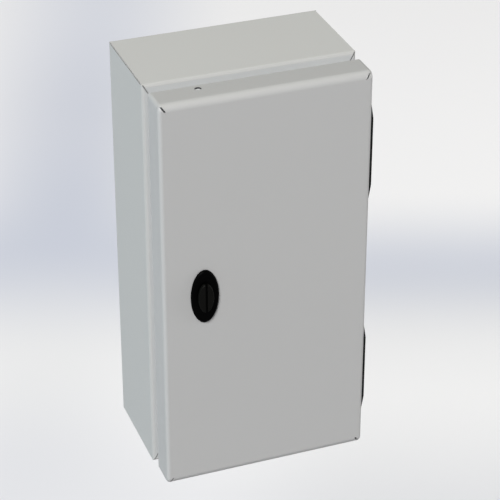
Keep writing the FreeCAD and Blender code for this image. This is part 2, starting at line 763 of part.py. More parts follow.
def make_lock_rose():
    """Bevelled oval rose and flatted barrel in one casting, bored for the spindle."""
    body = new_body("lock_rose")
    oval = sketch_on(body, "rose_oval", "XZ_Plane", "rose_back")
    add_ellipse(oval, "-lock_side", "lock_up", "rose_width", "rose_height")
    disc = pad(body, oval, "rose_wall")
    bevel_edges(body, disc, flat_in_front("rose_front"), "rose_bevel", "rose_bevel_edge")
    barrel = sketch_on(body, "barrel", "XZ_Plane", "lip_plane - sheet_wall")
    add_flatted_circle(barrel, "-lock_side", "lock_up", "barrel_radius", "barrel_flat")
    pad(body, barrel, "rose_back - lip_plane + sheet_wall")
    bore = sketch_on(body, "spindle_bore", "XZ_Plane", "rose_front")
    add_circle(bore, "-lock_side", "lock_up", "spindle_radius + spindle_clearance")
    pocket(body, bore, "rose_front - lip_plane + sheet_wall")
    return body


def make_lock_seal():
    """A thin rubber oval between the rose and the door."""
    body = new_body("lock_seal")
    oval = sketch_on(body, "seal_oval", "XZ_Plane", "door_front")
    add_ellipse(oval, "-lock_side", "lock_up", "rose_width", "rose_height")
    add_flatted_circle(oval, "-lock_side", "lock_up", "barrel_radius + barrel_clearance",
                       "barrel_flat + barrel_clearance")
    pad(body, oval, "seal_wall")
    return body


def make_lock_nut():
    """The hexagon nut that clamps the barrel from inside the door."""
    item = nut("lock_nut", "lock_nut_across", "barrel_radius + spindle_clearance", "lock_nut_height",
               ("-lock_side", "-door_inner", "lock_up"), BACKWARDS)
    item.Label = "lock_nut"
    return item


def make_lock_knob():
    """Oval knob with a coin slot, its round spindle and the square that drives the cam."""
    body = new_body("lock_knob")
    oval = sketch_on(body, "knob_oval", "XZ_Plane", "rose_front + knob_lift")
    add_ellipse(oval, "-lock_side", "lock_up", "knob_width", "knob_height")
    head = pad(body, oval, "knob_wall")
    bevel_edges(body, head, flat_in_front("rose_front + knob_lift + knob_wall"), "knob_bevel",
                "knob_bevel_edge")
    spindle = sketch_on(body, "spindle", "XZ_Plane", "cam_front")
    add_circle(spindle, "-lock_side", "lock_up", "spindle_radius")
    pad(body, spindle, "rose_front + knob_lift - cam_front")
    square = sketch_on(body, "drive_square", "XZ_Plane", "cam_back")
    add_rectangle(square, "square_side / 2", "square_side / 2", ("-lock_side", "lock_up"))
    pad(body, square, "cam_wall")
    slot = sketch_on(body, "coin_slot", "XZ_Plane", "rose_front + knob_lift + knob_wall")
    add_rectangle(slot, "knob_slot / 2", "knob_height / 2", ("-lock_side", "lock_up"))
    pocket(body, slot, "knob_slot_depth")
    bore = sketch_on(body, "cam_screw_bore", "XZ_Plane", "cam_back + cam_screw_length")
    add_circle(bore, "-lock_side", "lock_up", "cam_screw_radius + thread_clearance")
    pocket(body, bore, "cam_screw_length")
    return body


def make_lock_cam():
    """A flat cam with a round end on the spindle and a narrower nose that catches the lip."""
    body = new_body("lock_cam")
    blade = sketch_on(body, "cam_blade", "XZ_Plane", "cam_back")
    add_outline(blade, [("-lock_side - cam_width / 2", "lock_up"),
                        ("-lock_side - cam_width / 2", "lock_up - cam_reach"),
                        ("-lock_side + cam_width / 2", "lock_up - cam_reach"),
                        ("-lock_side + cam_width / 2", "lock_up")])
    nose = pad(body, blade, "cam_wall")
    tip = number("lock_up - cam_reach")
    tip_corners = lambda box: along_depth(box) and near(box.ZMin, tip)
    round_edges(body, nose, tip_corners, "cam_width / 4", "cam_tip")
    hub = sketch_on(body, "cam_hub", "XZ_Plane", "cam_back")
    add_circle(hub, "-lock_side", "lock_up", "cam_width / 2")
    pad(body, hub, "cam_wall")
    eye = sketch_on(body, "cam_eye", "XZ_Plane", "cam_front")
    add_rectangle(eye, "square_side / 2 + thread_clearance", "square_side / 2 + thread_clearance",
                  ("-lock_side", "lock_up"))
    pocket(body, eye, "cam_wall")
    return body


def make_cam_fixing():
    """The washer and screw that hold the cam on the spindle's square."""
    seat = ("-lock_side", "-cam_back", "lock_up")
    ring = washer("cam_washer", "cam_washer_radius", "cam_screw_radius + thread_clearance",
                  "cam_washer_wall", seat, BACKWARDS)
    ring.Label = "cam_washer"
    screw = pan_screw("cam_screw", "cam_screw_radius", "cam_screw_length + cam_washer_wall - thread_clearance",
                      "cam_head_radius", "cam_head_height",
                      moved_along(seat, BACKWARDS, "cam_washer_wall"), FORWARDS)
    screw.Label = "cam_screw"
    return [ring, screw]


# Mounting plate on four studs welded to the back.

def make_mounting_plate():
    """A flat plate with rounded corners and a hole for each stud."""
    body = new_body("mounting_plate")
    flat = sketch_on(body, "plate_outline", "XZ_Plane", "plate_back")
    add_rectangle(flat, "plate_half_width", "plate_half_height")
    for across, up in four_corners("stud_half_across", "stud_half_up"):
        add_circle(flat, across, up, "plate_hole_radius")
    plate = pad(body, flat, "plate_wall")
    round_edges(body, plate, along_depth, "plate_corner", "plate_corners")
    return body


def make_plate_fixing():
    """Shouldered weld studs, washers and nuts at the plate's corners."""
    studs = []
    seats = []
    corners = four_corners("stud_half_across", "stud_half_up")
    for count, (across, up) in enumerate(corners, start=1):
        foot = rod("plate_foot_%d" % count, "plate_stud_foot", "plate_stand",
                   (across, "-sheet_wall", up), FORWARDS)
        thread = rod("plate_thread_%d" % count, "plate_stud_radius", "plate_stand + plate_stud_thread",
                     (across, "-sheet_wall", up), FORWARDS)
        studs.append(joined("plate_stud_%d" % count, foot, thread))
        seats.append((across, "-(plate_back + plate_wall)", up))
    washers, nuts = fastener_set("plate", seats, FORWARDS, {
        "stud": "plate_stud_radius", "washer": "plate_washer_radius", "washer_wall": "plate_washer_wall",
        "across": "plate_nut_across", "nut": "plate_nut_height"})
    return [group("mounting_studs", studs), group("mounting_washers", washers),
            group("mounting_nuts", nuts)]


# Gland plate over the opening in the bottom, held down on its gasket by six studs.

GLAND_SPOTS = [("%d * (gland_width / 2 + gland_margin / 2)" % side,
                "-gland_middle + %d * (gland_depth / 2 + gland_margin / 2)" % level)
               for side in (-1, 0, 1) for level in (-1, 1)]


def make_gland_sheet(label, height, wall, ring):
    """The gland gasket or the gland plate: the same outline and holes at two heights."""
    body = new_body(label)
    flat = sketch_on(body, label + "_outline", "XY_Plane", height)
    middle = ("0", "-gland_middle")
    add_rectangle(flat, "gland_width / 2 + gland_margin", "gland_depth / 2 + gland_margin", middle)
    if ring:
        add_rectangle(flat, "gland_width / 2", "gland_depth / 2", middle)
    for across, up in GLAND_SPOTS:
        add_circle(flat, across, up, "gland_hole_radius")
    plate = pad(body, flat, wall)
    outer = number("gland_width / 2 + gland_margin")
    outer_corners = lambda box: upright(box) and near(abs(box.XMin), outer)
    round_edges(body, plate, outer_corners, "gland_corner", label + "_corners")
    return body


def make_gland_fixing():
    """Weld studs in the bottom, with washers and nuts on top of the gland plate."""
    studs = []
    seats = []
    for count, (across, back) in enumerate(GLAND_SPOTS, start=1):
        studs.append(rod("gland_stud_%d" % count, "gland_stud_radius", "gland_stud_length",
                         (across, back, "-gland_floor"), UPWARDS))
        seats.append((across, back, "-gland_floor + gland_seal_wall + gland_plate_wall"))
    washers, nuts = fastener_set("gland", seats, UPWARDS, {
        "stud": "gland_stud_radius", "washer": "gland_washer_radius", "washer_wall": "gland_washer_wall",
        "across": "gland_nut_across", "nut": "gland_nut_height"})
    return [group("gland_studs", studs), group("gland_washers", washers), group("gland_nuts", nuts)]


def make_earth_point(prefix, seat, axis, length):
    """An earth stud with its washer and nut."""
    stud = rod(prefix + "_earth_stud", "earth_stud_radius", length, seat, axis)
    bore = "earth_stud_radius + thread_clearance"
    ring = washer(prefix + "_earth_washer", "earth_washer_radius", bore, "earth_washer_wall", seat, axis)
    on_top = moved_along(seat, axis, "earth_washer_wall")
    hexagon = nut(prefix + "_earth_nut", "earth_nut_across", bore, "earth_nut_height", on_top, axis)
    for item in (stud, ring, hexagon):
        item.Label = item.Name
    return [stud, ring, hexagon]


subparts = [make_body_shell(), make_door_panel(), make_door_gasket(), make_mounting_plate()]
subparts += make_plate_fixing()
subparts += [make_gland_sheet("gland_gasket", "-gland_floor", "gland_seal_wall", ring=True),
             make_gland_sheet("gland_plate", "-gland_floor + gland_seal_wall", "gland_plate_wall", ring=False)]
subparts += make_gland_fixing()
subparts += make_earth_point("body", ("body_earth_side", "-sheet_wall", "-body_earth_drop"), FORWARDS,
                             "body_earth_length")
subparts += make_earth_point("door", ("door_earth_side", "-door_inner", "-door_earth_drop"), BACKWARDS,
                             "door_earth_length")
subparts += make_hinge("upper", 1)
subparts += make_hinge("lower", -1)
subparts += [make_lock_rose(), make_lock_seal(), make_lock_nut(), make_lock_knob(), make_lock_cam()]
subparts += make_cam_fixing()
doc.recompute()

for item in doc.Objects:
    if "Invalid" in item.State or "Error" in item.State:
        raise RuntimeError("%s failed: %s" % (item.Name, item.State))
for item in subparts:
    if item.Shape.isNull() or not item.Shape.isValid():
        raise RuntimeError("%s has no valid shape" % item.Label)

os.makedirs("parts", exist_ok=True)
for item in subparts:
    item.Shape.exportStep("parts/%s.step" % item.Label)
    print("%-26s %d solids  %9.1f mm3" % (item.Label, len(item.Shape.Solids), item.Shape.Volume))
print("%d sub-parts" % len(subparts))
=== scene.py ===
# %% [markdown]
# # A steel wall enclosure
#
# This lesson dresses a narrow sheet-steel wall box: a folded grey body, a flush door on two black
# hinges, and an oval black lock. The construction model already holds every solid in metres, with
# its origin at the centre of the wall fixing holes, +X to the right, +Z up and the door facing -Y.
# We load it as a fixed frame, light it, paint it, and swap the plain fasteners and soft seals for
# finer surfaces worked out with numpy.

# %% Load the construction model
import itertools
import json
import math

import bmesh
import bpy
import numpy as np
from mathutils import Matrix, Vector


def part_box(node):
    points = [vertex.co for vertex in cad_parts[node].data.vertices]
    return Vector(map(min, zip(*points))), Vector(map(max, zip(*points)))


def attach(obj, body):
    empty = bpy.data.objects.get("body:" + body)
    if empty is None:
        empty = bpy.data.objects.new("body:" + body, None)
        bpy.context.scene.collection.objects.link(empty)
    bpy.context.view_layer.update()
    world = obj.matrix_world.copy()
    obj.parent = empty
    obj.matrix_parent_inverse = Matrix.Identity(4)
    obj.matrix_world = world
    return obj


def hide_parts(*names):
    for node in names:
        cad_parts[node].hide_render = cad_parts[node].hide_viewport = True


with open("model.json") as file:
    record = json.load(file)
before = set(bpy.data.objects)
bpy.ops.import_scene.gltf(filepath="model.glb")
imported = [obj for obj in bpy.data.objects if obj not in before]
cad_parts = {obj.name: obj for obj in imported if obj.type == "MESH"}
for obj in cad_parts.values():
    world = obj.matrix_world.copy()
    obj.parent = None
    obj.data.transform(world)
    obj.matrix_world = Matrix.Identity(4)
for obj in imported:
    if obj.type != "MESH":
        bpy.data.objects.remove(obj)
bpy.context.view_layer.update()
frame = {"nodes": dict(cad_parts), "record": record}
nodes = frame["nodes"]

# %% [markdown]
# ## Camera
#
# The picture was taken from the front left and from above. A camera is fixed by where it stands and
# by its lens; the viewing angle decides which faces show, and the long lens keeps the upright edges
# nearly parallel. The numbers come from matching the box's corners, so nothing is shifted or tilted.

# %% Place the camera
CAMERA_AZIMUTH = math.radians(-20.40)
CAMERA_ELEVATION = math.radians(30.65)
CAMERA_PLACE = (-0.54943, -1.57343, 0.94830)
CAMERA_LENS, SENSOR_WIDTH = 143.1, 36.0


def outwards(azimuth, elevation):
    """The direction from the box to a place at this azimuth, zero in front of the door, and elevation."""
    return Vector((math.sin(azimuth) * math.cos(elevation), -math.cos(azimuth) * math.cos(elevation),
                   math.sin(elevation)))


camera = bpy.data.objects.new("camera", bpy.data.cameras.new("camera"))
camera.data.sensor_width = SENSOR_WIDTH
camera.data.lens = CAMERA_LENS
camera.location = CAMERA_PLACE
towards = -outwards(CAMERA_AZIMUTH, CAMERA_ELEVATION)
camera.rotation_euler = towards.to_track_quat("-Z", "Y").to_euler()
bpy.context.scene.collection.objects.link(camera)
bpy.context.scene.camera = camera
bpy.context.scene.view_settings.view_transform = "Standard"
print("camera looks along", [round(v, 3) for v in towards])

# %% [markdown]
# ## Helpers for node trees
#
# Every finish below is a small graph of nodes. These helpers add a node, set its values and join
# its sockets, so that each graph reads as a list of steps.


# %% Node helpers
def add_node(tree, kind, values=None, **settings):
    """Adds a node, sets its plain settings, and gives its input sockets their values."""
    made = tree.nodes.new(kind)
    for name, setting in settings.items():
        setattr(made, name, setting)
    for socket, value in (values or {}).items():
        made.inputs[socket].default_value = value
    return made


def join(tree, source, target):
    """Joins an output socket to an input socket."""
    tree.links.new(source, target)


def math_step(tree, operation, first, second):
    """One calculation on two inputs, each a number or an output socket; returns the result's socket."""
    step = add_node(tree, "ShaderNodeMath", operation=operation)
    for index, item in enumerate((first, second)):
        if isinstance(item, (int, float)):
            step.inputs[index].default_value = item
        else:
            join(tree, item, step.inputs[index])
    return step.outputs[0]


def smooth_step(tree, value, start, end):
    """Rises from zero to one as a value goes from start to end, level at both ends."""
    step = add_node(tree, "ShaderNodeMapRange", {"From Min": start, "From Max": end},
                    interpolation_type="SMOOTHSTEP")
    join(tree, value, step.inputs["Value"])
    return step.outputs[0]


def mix_colours(tree, factor, first, second):
    """Goes from the first colour to the second; each is four numbers or an output socket."""
    mix = add_node(tree, "ShaderNodeMix", data_type="RGBA")
    join(tree, factor, mix.inputs["Factor"])
    for socket, colour in (("A", first), ("B", second)):
        if isinstance(colour, tuple):
            mix.inputs[socket].default_value = colour
        else:
            join(tree, colour, mix.inputs[socket])
    return mix.outputs["Result"]


def grey(level):
    """A neutral colour as four numbers."""
    return (level, level, level, 1.0)


def new_group(name, inputs, outputs):
    """An empty shader group with named sockets, and its input and output nodes."""
    group = bpy.data.node_groups.new(name, "ShaderNodeTree")
    for socket, kind, value in inputs:
        made = group.interface.new_socket(name=socket, in_out="INPUT", socket_type=kind)
        made.default_value = value
    for socket, kind in outputs:
        group.interface.new_socket(name=socket, in_out="OUTPUT", socket_type=kind)
    return group, group.nodes.new("NodeGroupInput"), group.nodes.new("NodeGroupOutput")


print("helpers ready")

# %% [markdown]
# ## Floor and backdrop
#
# A wall box hangs about a metre above the floor, so the floor lies well below it and catches only a
# very soft shadow. The studio sweep in the picture is pale blue grey with a white glow that comes in
# from the right and leaves one dim band free. A ramp along the viewing direction, on the floor's own
# coordinates, gives the fade, and a smooth mask from both level directions mixes the glow in. Half
# of what the camera sees is the floor's own diffuse light, so that the shadow stays. Far away the
# floor takes the sky's colour, so no horizon shows from low viewpoints.

# %% Make the floor
FLOOR_LEVEL = -1.2
FLOOR_REACH = 40.0
FLOOR_LINES = 9


def make_mesh(name, points, faces):
    """A mesh object from an array of points and an array of faces, both computed as whole arrays."""
    mesh = bpy.data.meshes.new(name)
    mesh.from_pydata(points.reshape(-1, 3).tolist(), [], faces.tolist())
    mesh.update()
    made = bpy.data.objects.new(name, mesh)
    bpy.context.scene.collection.objects.link(made)
    return made


def grid_faces(rows, columns, wrap_rows=False, wrap_columns=False):
    """Four-sided faces between neighbours of a grid; a wrapped direction joins its last line to its first."""
    row, column = np.meshgrid(np.arange(rows if wrap_rows else rows - 1),
                              np.arange(columns if wrap_columns else columns - 1), indexing="ij")
    next_row, next_column = (row + 1) % rows, (column + 1) % columns
    corners = (row * columns + column, next_row * columns + column,
               next_row * columns + next_column, row * columns + next_column)
    return np.stack(corners, axis=-1).reshape(-1, 4)


lines_at = np.linspace(-FLOOR_REACH, FLOOR_REACH, FLOOR_LINES)
floor_x, floor_y = np.meshgrid(lines_at, lines_at, indexing="ij")
floor_points = np.stack([floor_x, floor_y, np.full_like(floor_x, FLOOR_LEVEL)], -1)
floor = make_mesh("floor", floor_points, grid_faces(FLOOR_LINES, FLOOR_LINES))
print("floor", len(floor.data.polygons), "faces at", FLOOR_LEVEL)

# %% Paint the floor
# Each stop of the sweep: its place along the sweep, and its colour.
SWEEP = [(0.25, (0.755, 0.76, 0.79)), (0.33, (0.82, 0.82, 0.83)), (0.43, (0.607, 0.634, 0.717)),
         (0.55, (0.66, 0.68, 0.75)), (0.70, (0.735, 0.752, 0.815))]
SWEEP_LENGTH = 4.0
GLOW = (0.92, 0.915, 0.92, 1.0)
DIM_SIDE, SIDE_WIDTH = -0.37, 0.40
DIM_AWAY, AWAY_WIDTH = 0.39, 0.09
GLOW_START = (0.18, 0.32)
FAR = (3.6, 5.4)
SKY_SEEN = (0.86, 0.86, 0.86, 1.0)
FLOOR_BOUNCE = 0.25
PLAIN_SHARE = 0.5


def paint_floor():
    """Diffuse floor with a pale fade; the camera and mirrors see it half as its own plain colour.

    Share of plain colour: one half, and the rest of it rises to one far away.
    """
    made = bpy.data.materials.new("studio_floor")
    made.use_nodes = True
    tree = made.node_tree
    tree.nodes.clear()
    place = add_node(tree, "ShaderNodeTexCoord")
    parts = add_node(tree, "ShaderNodeSeparateXYZ")
    join(tree, place.outputs["Object"], parts.inputs[0])

    def along(direction):
        """How far a point of the floor lies in a level direction."""
        return math_step(tree, "ADD", math_step(tree, "MULTIPLY", parts.outputs[0], direction.x),
                         math_step(tree, "MULTIPLY", parts.outputs[1], direction.y))

    def apart(value, middle, width):
        """Zero at the middle, rising to one at the width on either side."""
        distance = math_step(tree, "ABSOLUTE", math_step(tree, "SUBTRACT", value, middle), 0.0)
        return smooth_step(tree, distance, 0.0, width)

    away = along(towards / SWEEP_LENGTH)
    aside = along(Vector((towards.y, -towards.x, 0.0)).normalized())
    glow = math_step(tree, "MULTIPLY", apart(away, DIM_AWAY, AWAY_WIDTH), apart(aside, DIM_SIDE, SIDE_WIDTH))
    glow = math_step(tree, "MULTIPLY", glow, smooth_step(tree, away, *GLOW_START))
    ramp = add_node(tree, "ShaderNodeValToRGB")
    ramp.color_ramp.interpolation = "EASE"
    stops = ramp.color_ramp.elements
    while len(stops) < len(SWEEP):
        stops.new(0.5)
    for stop, (position, colour) in zip(stops, SWEEP):
        stop.position = position
        stop.color = (*colour, 1.0)
    join(tree, away, ramp.inputs[0])
    rays = add_node(tree, "ShaderNodeLightPath")
    seen = math_step(tree, "MAXIMUM", rays.outputs["Is Camera Ray"],
                     math_step(tree, "MAXIMUM", rays.outputs["Is Glossy Ray"],
                               rays.outputs["Is Transmission Ray"]))
    distance = add_node(tree, "ShaderNodeVectorMath", operation="LENGTH")
    join(tree, place.outputs["Object"], distance.inputs[0])
    far = smooth_step(tree, distance.outputs["Value"], *FAR)
    sweep = mix_colours(tree, far, mix_colours(tree, glow, ramp.outputs[0], GLOW), SKY_SEEN)
    matt = add_node(tree, "ShaderNodeBsdfDiffuse")
    plain = add_node(tree, "ShaderNodeEmission", {"Strength": 1.0})
    join(tree, mix_colours(tree, seen, grey(FLOOR_BOUNCE), sweep), matt.inputs["Color"])
    join(tree, sweep, plain.inputs["Color"])
    mix = add_node(tree, "ShaderNodeMixShader")
    share = math_step(tree, "ADD", math_step(tree, "MULTIPLY", far, 1.0 - PLAIN_SHARE), PLAIN_SHARE)
    join(tree, math_step(tree, "MULTIPLY", seen, share), mix.inputs[0])
    join(tree, matt.outputs[0], mix.inputs[1])
    join(tree, plain.outputs[0], mix.inputs[2])
    join(tree, mix.outputs[0], add_node(tree, "ShaderNodeOutputMaterial").inputs["Surface"])
    return made


floor.data.materials.append(paint_floor())
print("sweep stops", len(SWEEP))

# %% [markdown]
# ## Light
#
# One large soft box stands far off at the front left and gives most of the light, so that top, side
# and front are nearly equal and the folds between them, which face it, draw the bright lines. Weak
# boxes finish it: a warm one overhead gives the top its cream tint, a cool one at the left gives the
# side its blue grey, one at the right keeps the right edges from going dark, and a narrow one behind
# shows the back. Large sources keep every shadow soft.

# %% Set the lights
SKY_LIGHT = 0.15
SOFT_BOXES = [
    # name, azimuth and elevation in degrees, distance, size, power, spread in degrees, colour
    ("main_box", -38.2, 41.0, 12.0, 4.8, 2010.0, 180, (1.0, 0.99, 0.992)),
    ("top_box", -10.0, 84.0, 6.0, 3.0, 19.0, 180, (1.0, 1.0, 0.20)),
    ("left_box", -88.0, 10.0, 6.0, 3.0, 60.0, 180, (0.60, 1.0, 1.18)),
    ("right_box", 82.0, 5.0, 6.0, 3.0, 180.0, 180, (1.0, 1.0, 1.0)),
    ("back_box", 178.0, 0.0, 6.0, 2.0, 6.0, 40, (1.0, 1.0, 1.0)),
]

for name, azimuth, elevation, distance, size, power, spread, colour in SOFT_BOXES:
    lamp = bpy.data.lights.new(name, "AREA")
    lamp.size = size
    lamp.energy = power
    lamp.color = colour
    lamp.spread = math.radians(spread)
    box_light = bpy.data.objects.new(name, lamp)
    box_light.location = outwards(math.radians(azimuth), math.radians(elevation)) * distance
    box_light.rotation_euler = (-box_light.location).to_track_quat("-Z", "Y").to_euler()
    bpy.context.scene.collection.objects.link(box_light)


def make_sky():
    """A plain sky: one level for lighting, and a paler one for the camera and for reflections."""
    world = bpy.data.worlds.new("studio_sky")
    bpy.context.scene.world = world
    world.use_nodes = True
    tree = world.node_tree
    tree.nodes.clear()
    rays = add_node(tree, "ShaderNodeLightPath")
    seen = math_step(tree, "MAXIMUM", rays.outputs["Is Camera Ray"], rays.outputs["Is Transmission Ray"])
    light = add_node(tree, "ShaderNodeBackground", {"Color": grey(1.0), "Strength": SKY_LIGHT})
    view = add_node(tree, "ShaderNodeBackground", {"Color": SKY_SEEN, "Strength": 1.0})
    mix = add_node(tree, "ShaderNodeMixShader")
    join(tree, seen, mix.inputs[0])
    join(tree, light.outputs[0], mix.inputs[1])
    join(tree, view.outputs[0], mix.inputs[2])
    join(tree, mix.outputs[0], add_node(tree, "ShaderNodeOutputWorld").inputs["Surface"])


make_sky()
print("lights", [row[0] for row in SOFT_BOXES])

# %% [markdown]
# ## Surface effects
#
# Powder paint is sprayed and baked, so it has a faint orange-peel skin and a very slight change of
# tone from place to place, and so have castings, rubber and foam with other values. Zinc-plated steel
# has a fine grain instead. Each effect is one group with named inputs, built once and placed in a
# material with that material's own values.

# %% Group: mottled coat
NOISE_MIDDLE = 0.5


def build_coat_group():
    """Tone: colour times one plus a broad soft noise.

    Skin: a fine noise for the bump, and the gloss follows it.
    """
    group, given, result = new_group(
        "mottled_coat",
        [("Color", "NodeSocketColor", grey(0.5)), ("Mottle", "NodeSocketFloat", 0.02),
         ("Mottle Scale", "NodeSocketFloat", 12.0), ("Skin Scale", "NodeSocketFloat", 900.0),
         ("Roughness", "NodeSocketFloat", 0.45), ("Roughness Change", "NodeSocketFloat", 0.05)],
        [("Color", "NodeSocketColor"), ("Roughness", "NodeSocketFloat"), ("Height", "NodeSocketFloat")])
    place = add_node(group, "ShaderNodeTexCoord")
    broad = add_node(group, "ShaderNodeTexNoise", {"Detail": 3.0, "Roughness": 0.5})
    fine = add_node(group, "ShaderNodeTexNoise", {"Detail": 2.0, "Roughness": 0.45})
    for noise, scale in ((broad, "Mottle Scale"), (fine, "Skin Scale")):
        join(group, place.outputs["Object"], noise.inputs["Vector"])
        join(group, given.outputs[scale], noise.inputs["Scale"])
    swing = math_step(group, "SUBTRACT", broad.outputs[0], NOISE_MIDDLE)
    tone = math_step(group, "ADD", math_step(group, "MULTIPLY", swing, given.outputs["Mottle"]), 1.0)
    shade = add_node(group, "ShaderNodeVectorMath", operation="SCALE")
    join(group, given.outputs["Color"], shade.inputs[0])
    join(group, tone, shade.inputs["Scale"])
    join(group, shade.outputs[0], result.inputs["Color"])
    gloss = math_step(group, "MULTIPLY", math_step(group, "SUBTRACT", fine.outputs[0], NOISE_MIDDLE),
                      given.outputs["Roughness Change"])
    join(group, math_step(group, "ADD", given.outputs["Roughness"], gloss), result.inputs["Roughness"])
    join(group, fine.outputs[0], result.inputs["Height"])
    return group


COAT = build_coat_group()
print("group", COAT.name)


# %% Group: metal grain
def build_metal_group():
    """One fine noise changes the tone, the gloss and the height together."""
    group, given, result = new_group(
        "metal_grain",
        [("Color", "NodeSocketColor", grey(0.6)), ("Grain Scale", "NodeSocketFloat", 400.0),
         ("Contrast", "NodeSocketFloat", 0.1), ("Roughness", "NodeSocketFloat", 0.3)],
        [("Color", "NodeSocketColor"), ("Roughness", "NodeSocketFloat"), ("Height", "NodeSocketFloat")])
    place = add_node(group, "ShaderNodeTexCoord")
    grain = add_node(group, "ShaderNodeTexNoise", {"Detail": 4.0, "Roughness": 0.6})
    join(group, place.outputs["Object"], grain.inputs["Vector"])
    join(group, given.outputs["Grain Scale"], grain.inputs["Scale"])
    swing = math_step(group, "MULTIPLY", math_step(group, "SUBTRACT", grain.outputs[0], NOISE_MIDDLE),
                      given.outputs["Contrast"])
    shade = add_node(group, "ShaderNodeVectorMath", operation="SCALE")
    join(group, given.outputs["Color"], shade.inputs[0])
    join(group, math_step(group, "ADD", swing, 1.0), shade.inputs["Scale"])
    join(group, shade.outputs[0], result.inputs["Color"])
    join(group, math_step(group, "ADD", given.outputs["Roughness"], swing), result.inputs["Roughness"])
    join(group, grain.outputs[0], result.inputs["Height"])
    return group


METAL = build_metal_group()
print("group", METAL.name)

# %% [markdown]
# ## Painted shade in the seams and on the folds, and painted light on the flange
#
# The body is folded from one sheet and welded along its depth edges. Painted shade darkens the narrow slots
# left there, the mitres of the front flange and the punched holes of the door, where shade falls in them. A
# little painted shade on the sharp front folds tones down their highlight. The flange gets painted light: a
# lighter, cooler tone that offsets the shade the door casts on it, so it shows brighter than the door beside
# it. The door's rounded corners and the slot of the knob get painted shade in the same way. Each mask is
# worked out from the distances to the part's own planes and axes, so it falls exactly on the cut it belongs
# to.

# %% Groups: masks of painted shade and light for seams, holes, corners and the slot
BODY_HALF_WIDTH, BODY_HALF_HEIGHT, BODY_DEPTH = 0.100, 0.200, 0.098
FOLD_RADIUS = 0.003
FOLD_START = BODY_DEPTH - FOLD_RADIUS
SKIN = 0.0001
SEAM_HALF_MOUTH, SEAM_REACH = 0.00095, 0.0036
MITRE_SLOPE = 4.5 / 8.0
MITRE_ACROSS = (0.0002, 0.0015)
MITRE_DOWN = (0.0005, 0.0087)
MITRE_DEPTH = 0.0012
FOLD_SHARE = 0.7
DOOR_HALF_WIDTH, DOOR_HALF_HEIGHT, DOOR_FRONT = 0.099, 0.199, 0.140
DOOR_SIDE_FOLD, DOOR_TOP_FOLD = 0.0035, 0.0065
HOLE_AT = (-0.056, -0.1186)
HOLE_RIM = 0.0031
RETURN_AT = 0.1972
KNOB_SIDE, KNOB_FRONT = -0.060, 0.1462
SLOT_HALF_WIDTH = 0.0011


def coordinates(group):
    """The three coordinates of a point on the part, in metres."""
    parts = add_node(group, "ShaderNodeSeparateXYZ")
    join(group, add_node(group, "ShaderNodeTexCoord").outputs["Object"], parts.inputs[0])
    return parts.outputs


def inset_from(group, coordinate, half):
    """How far a point lies inside one of two mirrored planes."""
    return math_step(group, "SUBTRACT", half, math_step(group, "ABSOLUTE", coordinate, 0.0))


def above(group, value, limit):
    """One over a limit, else zero."""
    return math_step(group, "GREATER_THAN", value, limit)


def below(group, value, limit):
    """One under a limit, else zero."""
    return math_step(group, "LESS_THAN", value, limit)


def within(group, value, low, high):
    """One between two limits, else zero."""
    return math_step(group, "MULTIPLY", above(group, value, low), below(group, value, high))


def every(group, *masks):
    """The product of masks: one only where all are one."""
    product = masks[0]
    for mask in masks[1:]:
        product = math_step(group, "MULTIPLY", product, mask)
    return product


def new_marks(name, *masks):
    """An empty group that puts out masks, the three coordinates in it, and its output node."""
    group, _, result = new_group(name, [], [(mask, "NodeSocketFloat") for mask in masks])
    return group, coordinates(group), result


def build_body_painted_light_and_shade():
    """Seam and Mitre: one on the walls of those slots. Flange: one on the front of the flange.

    Fold Shade: rises to one towards the middle of a front fold.
    """
    group, (x, y, z), result = new_marks("body_painted_light_and_shade", "Seam", "Mitre Shade", "Fold Shade", "Flange Light")
    side = inset_from(group, x, BODY_HALF_WIDTH)
    end = inset_from(group, z, BODY_HALF_HEIGHT)
    depth = math_step(group, "MULTIPLY", y, -1.0)
    inset = math_step(group, "MINIMUM", side, end)
    slant = math_step(group, "SUBTRACT", side, math_step(group, "MULTIPLY", end, MITRE_SLOPE))
    bend = math_step(group, "MINIMUM", math_step(group, "SUBTRACT", depth, FOLD_START),
                     math_step(group, "SUBTRACT", FOLD_RADIUS, inset))
    masks = {
        # painted shade on the walls of the weld slots along the depth edges
        "Seam": every(group, above(group, inset, SKIN), below(group, depth, FOLD_START + 2 * SKIN),
                      below(group, math_step(group, "ADD", side, end), SEAM_REACH),
                      below(group, math_step(group, "ABSOLUTE", math_step(group, "SUBTRACT", side, end), 0.0),
                            SEAM_HALF_MOUTH)),
        # painted shade on the walls of the mitre slots at the flange corners
        "Mitre Shade": every(group, within(group, slant, *MITRE_ACROSS), within(group, end, *MITRE_DOWN),
                       within(group, depth, BODY_DEPTH - MITRE_DEPTH, BODY_DEPTH - SKIN)),
        # painted shade on the front folds, toning down their highlight
        "Fold Shade": smooth_step(group, bend, 0.0, FOLD_SHARE * FOLD_RADIUS),
        # painted light on the front of the flange, against the shade the door casts on it
        "Flange Light": above(group, depth, BODY_DEPTH - SKIN / 10),
    }
    for mask, value in masks.items():
        join(group, value, result.inputs[mask])
    return group


